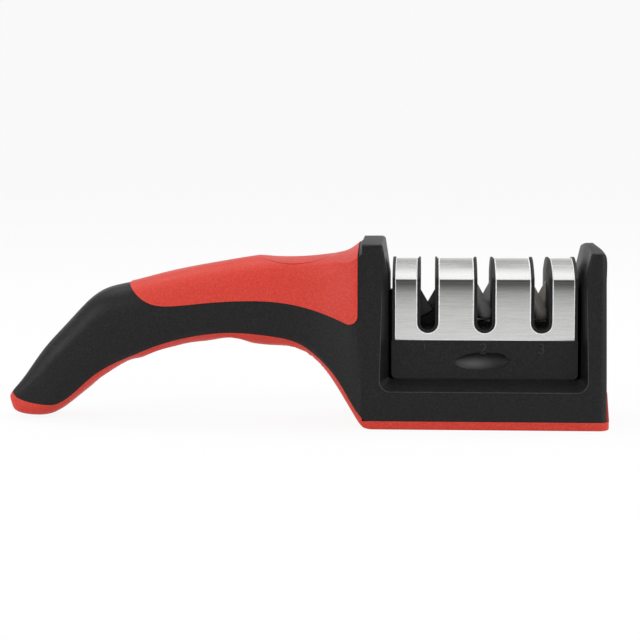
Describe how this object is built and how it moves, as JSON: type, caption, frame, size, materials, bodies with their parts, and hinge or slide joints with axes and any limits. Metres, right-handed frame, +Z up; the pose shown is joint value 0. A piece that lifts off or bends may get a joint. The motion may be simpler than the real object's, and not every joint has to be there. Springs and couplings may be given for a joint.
{
  "type": "pull-through knife sharpener",
  "caption": "Hand-held knife sharpener: curved handle with soft grip, U-shaped cradle, lift-out head with slots for carbide, diamond and ceramic stages.",
  "frame": {"origin": "on the table under the middle of the overall box", "axes": "+X along the sharpener from the handle to the cradle, +Y to the rear, +Z up"},
  "size_m": [0.21, 0.05, 0.0642],
  "materials": {
    "black_abs": "fine moulded grain, satin",
    "red_soft": "soft-touch, satin",
    "cover_steel": "brushed along the head",
    "screw_steel": "plated",
    "carbide": "ground tungsten carbide",
    "diamond_grit": "diamond grit on a steel rod",
    "ceramic": "fine fired ceramic"
  },
  "bodies": {
    "holder": {"body_shell": "black_abs", "grip_inlay": "red_soft", "lower_cover": "black_abs", "sole": "red_soft", "cover_screws": "screw_steel"},
    "head": {"head_frame": "black_abs", "steel_cover": "cover_steel", "head_base_plate": "black_abs", "head_screws": "screw_steel", "carbide_insert": "black_abs", "carbide_blade_front": "carbide", "carbide_blade_rear": "carbide", "carbide_screw_front": "screw_steel", "carbide_screw_rear": "screw_steel", "diamond_insert": "black_abs", "diamond_rod_front": "diamond_grit", "diamond_rod_rear": "diamond_grit", "ceramic_insert": "black_abs", "ceramic_rod_front": "ceramic", "ceramic_rod_rear": "ceramic"}
  },
  "joints": [
    {"name": "head_lift", "type": "slide", "parent": "holder", "child": "head", "axis": [0, 0, 1], "range_m": [0, 0.048]}
  ]
}
